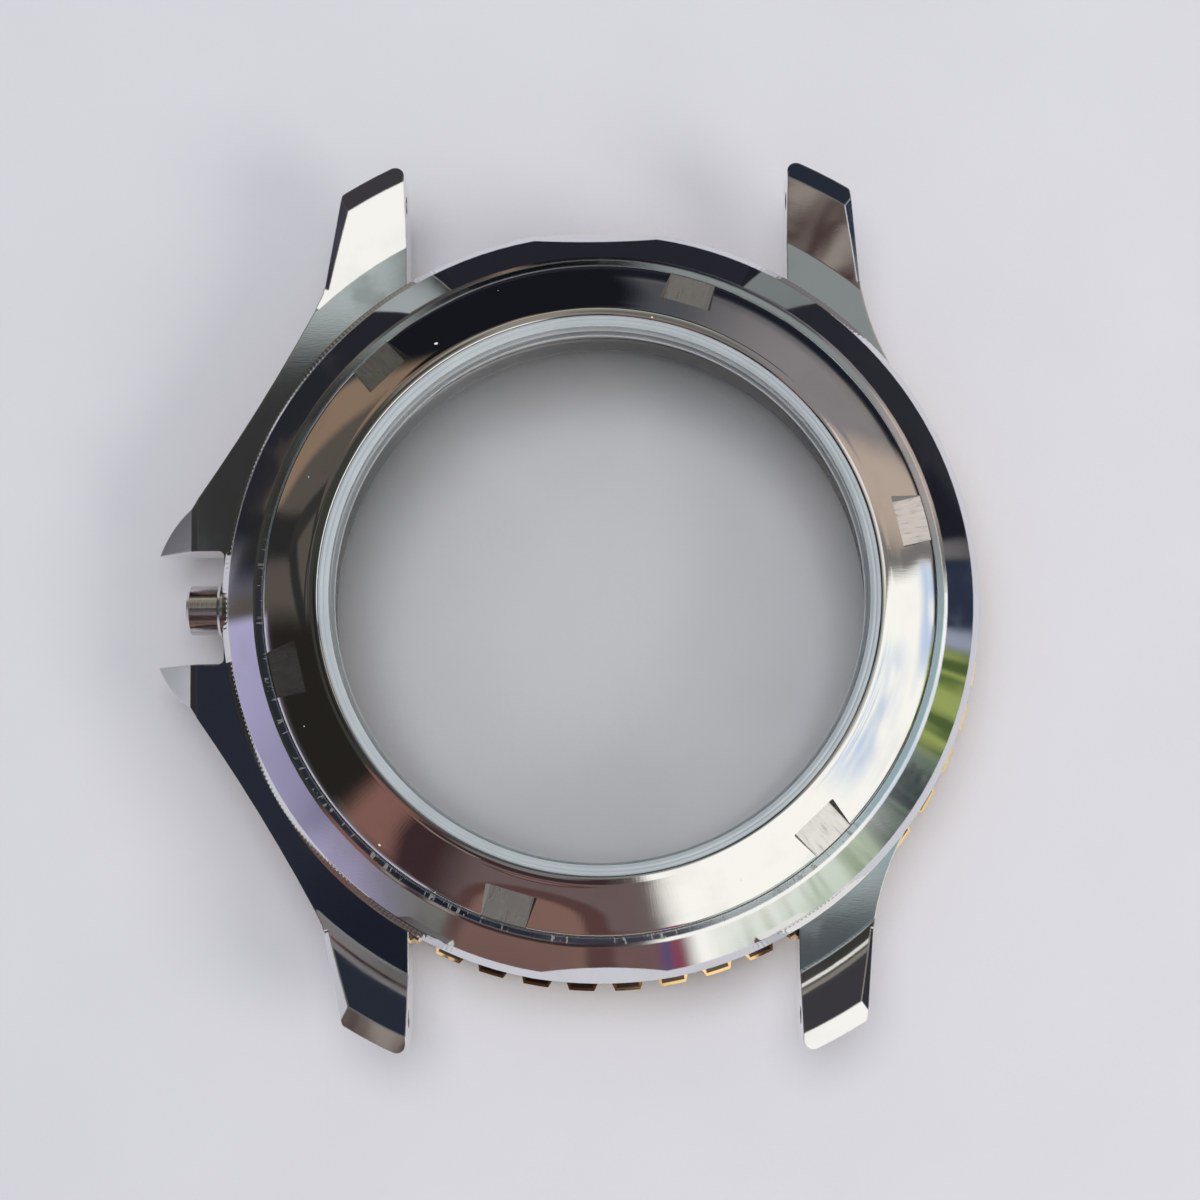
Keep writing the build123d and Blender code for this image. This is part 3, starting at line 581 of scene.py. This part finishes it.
goldSet = {
    "colour": (0.90, 0.62, 0.30), "worn": (0.76, 0.50, 0.23), "wornShare": 0.5,
    "wear": (0.9, 3), "wornFrom": (0.5, 0.75), "pull": (1, 1, 8), "fine": (4, 3),
    "toothBackDark": (0.036, 0.037, 0.041), "toothBackShare": 0.92, "teeth": 52, "pastZero": 2.5,
    "toothPart": (0.250, 0.750, 0.012), "underR": (19.40, 19.94, 0.015),
    "underZFrom": (3.63, 3.66), "rough": 0.07, "fineRough": 0.10, "toothBackRough": 0.10,
    "depth": 0.02, "strength": 0.15, "edge": 0.02,
}


def gold(paint, place):  # gold plate, dark over the middle of the back of each tooth
    s = goldSet
    x, y, z = paint.parts(place)
    wear = paint.step(paint.noise(place, *s["wear"]), *s["wornFrom"])
    fine = paint.noise(paint.vec("MULTIPLY", place, s["pull"]), *s["fine"])
    turn = y.math("ARCTAN2", x) + math.pi * s["pastZero"]
    tooth = (turn * (s["teeth"] / math.pi / 2)).math("FRACT")
    # the middle part of each tooth's back face, near the case, is made near black and a little
    # rougher, leaving a gold margin
    toothBack = paint.between(tooth, *s["toothPart"])
    toothBack = toothBack * paint.between(fromAxis(paint, place), *s["underR"])
    toothBack = toothBack * paint.step(z, *s["underZFrom"])
    colour = paint.blend(wear * s["wornShare"], s["colour"], s["worn"])
    colour = paint.blend(toothBack * s["toothBackShare"], colour, s["toothBackDark"])
    rough = s["rough"] + s["fineRough"] * fine + s["toothBackRough"] * toothBack
    return surface(paint, s, colour, rough, fine)


glassSet = {
    "colour": (0.95, 0.97, 0.97), "refraction": 1.5, "gleam": 0.7, "haze": 0.003,
    "dust": (2.2, 1), "dustFrom": (0.86, 0.89), "dustShare": 0.6,
    "rough": 0.01, "dustRough": 0.5,
}


def clearGlass(paint, place):  # a clear sheet that shows only its reflections and its dust
    s = glassSet
    gleam = paint.node("ShaderNodeFresnel", None, {"IOR": s["refraction"]}) * s["gleam"]
    dust = paint.step(paint.noise(place, *s["dust"]), *s["dustFrom"])
    alpha = (gleam + s["haze"] + s["dustShare"] * dust).math("MINIMUM", 1)
    rough = s["rough"] + s["dustRough"] * dust
    return paint.node("ShaderNodeBsdfPrincipled", None, {
        "Base Color": s["colour"], "Metallic": 1.0, "Roughness": rough, "Alpha": alpha})


nylonSet = {
    "grey": (0.36, 0.41, 0.44), "pale": (0.52, 0.56, 0.57), "band": (0.24, 0.28, 0.31),
    "clouds": (0.5, 2), "bandsPerMm": 5.5, "bands": (1.0, 1), "bandFrom": (0.35, 0.65),
    "bandShare": 0.45, "rough": 0.14, "cloudRough": 0.08, "coat": 0.7, "coatRough": 0.06,
    "gleam": 0.6,
}


def paleNylon(paint, place):  # pale, glossy and a little darker in fine turned bands
    s = nylonSet
    along = paint.joined(fromAxis(paint, place) * s["bandsPerMm"], 0, 0)
    band = paint.step(paint.noise(along, *s["bands"]), *s["bandFrom"])
    cloud = paint.noise(place, *s["clouds"])
    pale = paint.blend(cloud, s["grey"], s["pale"])
    colour = paint.blend(band * s["bandShare"], pale, s["band"])
    rough = s["rough"] + s["cloudRough"] * cloud
    return paint.node("ShaderNodeBsdfPrincipled", None, {
        "Base Color": colour, "Roughness": rough, "Coat Weight": s["coat"],
        "Coat Roughness": s["coatRough"], "Specular IOR Level": s["gleam"]})


plainSet = {"detail": 3, "grainRough": 0.15, "strength": 0.4}


def plain(colour, other, rough, scale, depth=0.01):  # a dull finish of two close colours
    def fill(paint, place):
        s = {**plainSet, "depth": depth}
        grain = paint.noise(place, scale, s["detail"])
        tint = paint.blend(grain, colour, other)
        return surface(paint, s, tint, rough + s["grainRough"] * grain, grain, 0.0)
    return fill


finishes = {
    "steel": polishedCase,
    "back_steel": polishedBack,
    "milled": milledSteel,
    "cut": cutSteel,
    "tube_steel": turnedSteel,
    "bezel_gold": gold,
    "spring_steel": drawnSteel,
    "clear_glass": clearGlass,
    "nylon": paleNylon,
    "insert_black": plain((0.012, 0.012, 0.014), (0.03, 0.03, 0.034), 0.28, 5),
    "lume": plain((0.78, 0.86, 0.68), (0.66, 0.74, 0.56), 0.5, 9),
    "adhesive": plain((0.80, 0.78, 0.70), (0.72, 0.70, 0.62), 0.5, 3),
    "black_rubber": plain((0.015, 0.015, 0.016), (0.04, 0.04, 0.04), 0.55, 6, 0.02),
    "chapter_steel": satinSteel,
    "print": plain((0.82, 0.82, 0.80), (0.72, 0.72, 0.70), 0.5, 9),
}
looks = {name: newMaterial(name, fill) for name, fill in finishes.items()}
for part in frame["record"]["subparts"]:
    frame["nodes"][part["node"]].material_slots[0].material = looks[part["material_slot"]]
print("materials:", len(looks))


def newPiece(name, shape, materials, body, slot, *nodes):
    mesh = bpy.data.meshes.new(name)
    bmesh.ops.recalc_face_normals(shape, faces=shape.faces)
    shape.to_mesh(mesh)
    shape.free()
    piece = bpy.data.objects.new(name, mesh)
    bpy.context.scene.collection.objects.link(piece)
    for key in materials:
        mesh.materials.append(looks[key])
    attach(piece, body)
    if nodes:
        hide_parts(*nodes)
    return piece


def smoothBy(piece, degrees):  # soft shading with hard edges above an angle
    piece.data.shade_smooth()
    piece.data.set_sharp_from_angle(angle=math.radians(degrees))


def addBlock(shape, under, over):  # between two outlines with as many points each
    floor, top = ([shape.verts.new(point) for point in outline] for outline in (under, over))
    shape.faces.new(floor)
    shape.faces.new(top[::-1])
    for j in range(len(floor)):
        k = (j + 1) % len(floor)
        shape.faces.new((floor[k], floor[j], top[j], top[k]))


def turned(section, steps, weld=1e-9):  # a turned shape from its closed half section, in mm
    shape = bmesh.new()
    rows = []
    for i in range(steps):
        turn = 2 * math.pi * i / steps
        c, d = math.cos(turn) * mm, math.sin(turn) * mm
        rows.append([shape.verts.new((r * c, r * d, z * mm)) for r, z in section])
    for i in range(steps):
        here, there = rows[i], rows[(i + 1) % steps]
        for j in range(len(section)):
            k = (j + 1) % len(section)
            shape.faces.new((here[j], there[j], there[k], here[k]))
    bmesh.ops.remove_doubles(shape, verts=shape.verts, dist=weld)
    return shape


def bowed(start, finish, bow, count):  # points on a shallow curve that bows to the left
    a, b = Vector(start), Vector(finish)
    half = (b - a) / 2
    left = Vector((-half.y, half.x)).normalized()
    steps = [2 * i / count - 1 for i in range(count + 1)]
    return [tuple(a + half * (1 + t) + left * bow * (1 - t * t)) for t in steps]


def rounded(corners, count=4, most=0.49):  # each corner has its place and its radius
    out = []
    places = [Vector(corner[:2]) for corner in corners]
    for i, (x, y, radius) in enumerate(corners):
        if not radius:
            out.append((x, y))
            continue
        p = places[i]
        a, b = places[i - 1] - p, places[(i + 1) % len(places)] - p
        u, v = a.normalized(), b.normalized()
        corner = u.angle(v)
        cut = min(radius / math.tan(corner / 2), a.length * most, b.length * most)
        size = cut * math.tan(corner / 2)
        centre = p + (u + v).normalized() * (size / math.sin(corner / 2))
        first, last = p + u * cut - centre, p + v * cut - centre
        start, sweep = math.atan2(first.y, first.x), first.angle(last)
        side = 1 if first.x * last.y - first.y * last.x > 0 else -1
        for k in range(count + 1):
            t = start + side * sweep * k / count
            out.append((centre.x + size * math.cos(t), centre.y + size * math.sin(t)))
    return out


def cutAway(piece, cutter):  # takes the cutter's shape out of the piece
    modifier = piece.modifiers.new("cut", "BOOLEAN")
    modifier.operation, modifier.solver, modifier.object = "DIFFERENCE", "EXACT", cutter
    depsgraph = bpy.context.evaluated_depsgraph_get()
    mesh = bpy.data.meshes.new_from_object(piece.evaluated_get(depsgraph))
    piece.modifiers.clear()
    piece.data = mesh
    bpy.data.objects.remove(cutter)


backRingSet = {
    "steps": 720, "outerR": 17.02, "seatZ": 9.25, "edgeZ": 10.55, "topZ": 12.5,
    "edgeIn": 0.02, "edgeUp": 0.025, "boreR": 14.06, "boreBevel": 0.04,
    "ledgeR": 13.4, "ledgeZ": 10.68, "underZ": 10.18, "coneZ": 9.5, "skirtR": 14.9,
    "skirtEndZ": 7.75, "threadR": 15.9, "reliefR": 15.7, "reliefZ": 9.0,
    "domeTop": (14.64, 12.30), "domeBow": 0.09, "domeSteps": 26,
    "crestBow": 0.05, "crestSteps": 10, "smooth": 26,
    "notches": 6, "notchFrom": 13, "notchFloorZ": 10.4, "notchIn": 15.37, "notchW": 2.3,
    "notchLean": 8, "notchFall": 9, "notchRound": 0.06, "notchSteps": 6, "past": 1,
    "floorFacing": 0.9, "fillet": 0.05, "coneFillet": 0.1, "threadFillet": 0.08,
    "reliefFillet": 0.03,
}


def wrenchNotches(s):
    shape = bmesh.new()
    high, far = s["topZ"] + s["past"], s["outerR"] + s["past"]
    for i in range(s["notches"]):
        turn = Matrix.Rotation(math.radians(s["notchFrom"] + i * 360 / s["notches"]), 4, "Z")
        rings = []
        for z in (s["notchFloorZ"], high):
            leaned = (z - s["notchFloorZ"]) * math.tan(math.radians(s["notchLean"]))
            half = s["notchW"] / 2 + leaned
            outline = rounded([
                (s["notchIn"], half, s["notchRound"]), (s["notchIn"], -half, s["notchRound"]),
                (far, -half, 0), (far, half, 0),
            ], s["notchSteps"])
            fall = math.tan(math.radians(s["notchFall"])) if z < high else 0
            ring = [(x * mm, y * mm, (z + (s["outerR"] - x) * fall) * mm) for x, y in outline]
            rings.append([turn @ Vector(point) for point in ring])
        addBlock(shape, *rings)
    bmesh.ops.recalc_face_normals(shape, faces=shape.faces)
    mesh = bpy.data.meshes.new("notches")
    shape.to_mesh(mesh)
    shape.free()
    for key in ("back_steel", "milled", "cut"):
        mesh.materials.append(looks[key])
    for face in mesh.polygons:  # the floors are milled and the sides are cut
        face.material_index = 1 if abs(face.normal.z) > s["floorFacing"] else 2
    cutter = bpy.data.objects.new("notches", mesh)
    bpy.context.scene.collection.objects.link(cutter)
    return cutter


def makeBackRing(s):
    edge = (s["outerR"] - s["edgeIn"], s["edgeZ"] + s["edgeUp"])
    bore = (s["boreR"] + s["boreBevel"], s["topZ"])
    dome = bowed(edge, s["domeTop"], -s["domeBow"], s["domeSteps"])
    crest = bowed(s["domeTop"], bore, -s["crestBow"], s["crestSteps"])
    inside = rounded([
        (s["boreR"], s["topZ"] - s["boreBevel"], 0),
        (s["boreR"], s["ledgeZ"], 0),
        (s["ledgeR"], s["ledgeZ"], s["fillet"]),
        (s["ledgeR"], s["underZ"], s["fillet"]),
        (s["skirtR"], s["coneZ"], s["coneFillet"]),
        (s["skirtR"], s["skirtEndZ"], s["fillet"]),
        (s["threadR"], s["skirtEndZ"], s["threadFillet"]),
        (s["threadR"], s["reliefZ"], s["fillet"]),
        (s["reliefR"], s["reliefZ"], s["reliefFillet"]),
        (s["reliefR"], s["seatZ"], s["reliefFillet"]),
        (s["outerR"], s["seatZ"], s["fillet"]),
        (s["outerR"], s["edgeZ"], 0),
    ])
    shape = turned(dome + crest[1:] + inside, s["steps"])
    materials = ("back_steel", "milled", "cut")
    piece = newPiece("back_ring", shape, materials, "back", "back_steel", "case_back_ring")
    cutAway(piece, wrenchNotches(s))
    smoothBy(piece, s["smooth"])


makeBackRing(backRingSet)

windowSet = {
    "steps": 480, "r": 13.5, "z": 10.9, "topZ": 12.25, "bevel": 0.2, "footRound": 0.05,
    "topRound": 0.04, "smooth": 30,
}


def makeWindow(s):
    section = rounded([
        (0, s["z"], 0),
        (s["r"], s["z"], s["footRound"]),
        (s["r"], s["topZ"] - s["bevel"], s["topRound"]),
        (s["r"] - s["bevel"], s["topZ"], s["topRound"]),
        (0, s["topZ"], 0),
    ])
    shape = turned(section, s["steps"])
    materials = ("clear_glass",)
    piece = newPiece("window_glass", shape, materials, "back", "clear_glass", "back_window")
    smoothBy(piece, s["smooth"])


makeWindow(windowSet)

windowGasketSet = {
    "steps": 480, "inR": 13.52, "outR": 14.04, "ledgeR": 13.4, "footZ": 10.70, "stepZ": 10.88,
    "topZ": 12.47, "inRound": 0.06, "outRound": 0.04, "shoulder": 0.08, "lean": 0.10,
    "crownSteps": 24, "grooves": 1, "grooveDeep": 0.04, "smooth": 40,
}


def makeWindowGasket(s):
    low, high = s["inR"] + s["inRound"], s["outR"] - s["outRound"]
    crown = []
    for i in range(s["crownSteps"] + 1):
        share = i / s["crownSteps"]
        wave = abs(math.sin(share * math.pi * (s["grooves"] + 1)))
        z = s["topZ"] - s["grooveDeep"] * (1 - wave) - s["lean"] * share
        crown.append((high + (low - high) * share, z))
    outside = [(s["ledgeR"], s["footZ"]), (s["outR"], s["footZ"]),
               (s["outR"], s["topZ"] - s["shoulder"])]
    inside = [(s["inR"], s["topZ"] - s["lean"] - s["shoulder"]), (s["inR"], s["stepZ"]),
              (s["ledgeR"], s["stepZ"])]
    shape = turned(outside + crown + inside, s["steps"])
    piece = newPiece("window_ring", shape, ("nylon",), "back", "nylon", "window_gasket")
    smoothBy(piece, s["smooth"])


makeWindowGasket(windowGasketSet)
print("back made")

insertPrintSet = {
    "faceZ": 0.5, "deep": 0.008, "proud": 0.002, "inR": 15.85, "outR": 18.75,
    "barIn": 0.25, "barOut": 0.3, "barW": 0.34, "shortIn": 17.75, "shortW": 0.24,
    "fineMinutes": 15, "numberR": 17.15, "numberSize": 2.565, "numberCurve": 8,
    "triangleW": 3.5, "triangleIn": 0.05, "triangleOut": 0.25, "weld": 1e-5,
}


def onScale(minute, x, y):  # a point of the minute scale; from the front it runs to the right
    turn = 2 * math.pi * minute / 60
    return -(x * math.cos(turn) + y * math.sin(turn)), y * math.cos(turn) - x * math.sin(turn)


def addMark(shape, minute, corners, low, high):  # a flat mark at its minute of the scale
    outline = [onScale(minute, x, y) for x, y in corners]
    addBlock(shape, *([(x * mm, y * mm, z * mm) for x, y in outline] for z in (low, high)))


def addNumber(shape, minute, s, low, high):
    curve = bpy.data.curves.new("digits", "FONT")
    curve.body, curve.size, curve.resolution_u = str(minute), s["numberSize"], s["numberCurve"]
    curve.align_x, curve.align_y = "CENTER", "CENTER"
    letters = bpy.data.objects.new("digits", curve)
    bpy.context.scene.collection.objects.link(letters)
    depsgraph = bpy.context.evaluated_depsgraph_get()
    mesh = bpy.data.meshes.new_from_object(letters.evaluated_get(depsgraph))
    bpy.data.objects.remove(letters)
    flat = bmesh.new()
    flat.from_mesh(mesh)
    bmesh.ops.remove_doubles(flat, verts=flat.verts, dist=s["weld"])
    for vert in flat.verts:
        x, y = onScale(minute, vert.co.x, vert.co.y + s["numberR"])
        vert.co = (x * mm, y * mm, low * mm)
    made = bmesh.ops.extrude_face_region(flat, geom=flat.faces[:])["geom"]
    lifted = [item for item in made if isinstance(item, bmesh.types.BMVert)]
    bmesh.ops.translate(flat, vec=(0, 0, (high - low) * mm), verts=lifted)
    flat.to_mesh(mesh)
    flat.free()
    verts = [shape.verts.new(vert.co) for vert in mesh.vertices]
    for face in sorted(tuple(polygon.vertices) for polygon in mesh.polygons):
        shape.faces.new([verts[i] for i in face])
    bpy.data.meshes.remove(mesh)


def makeInsertPrint(s):
    shape = bmesh.new()
    low, high = s["faceZ"] - s["deep"], s["faceZ"] + s["proud"]
    for minute in range(1, 60):
        if minute % 10 == 0:
            addNumber(shape, minute, s, low, high)
        elif minute % 5 == 0 or minute < s["fineMinutes"]:
            long = minute % 5 == 0
            half = (s["barW"] if long else s["shortW"]) / 2
            inner = s["inR"] + s["barIn"] if long else s["shortIn"]
            outer = s["outR"] - s["barOut"]
            corners = [(-half, inner), (half, inner), (half, outer), (-half, outer)]
            addMark(shape, minute, corners, low, high)
    half, outer = s["triangleW"] / 2, s["outR"] - s["triangleOut"]
    corners = [(-half, outer), (half, outer), (0, s["inR"] + s["triangleIn"])]
    addMark(shape, 0, corners, low, high)
    newPiece("insert_print", shape, ("print",), "bezel", "lume")


makeInsertPrint(insertPrintSet)
print("insert printed")
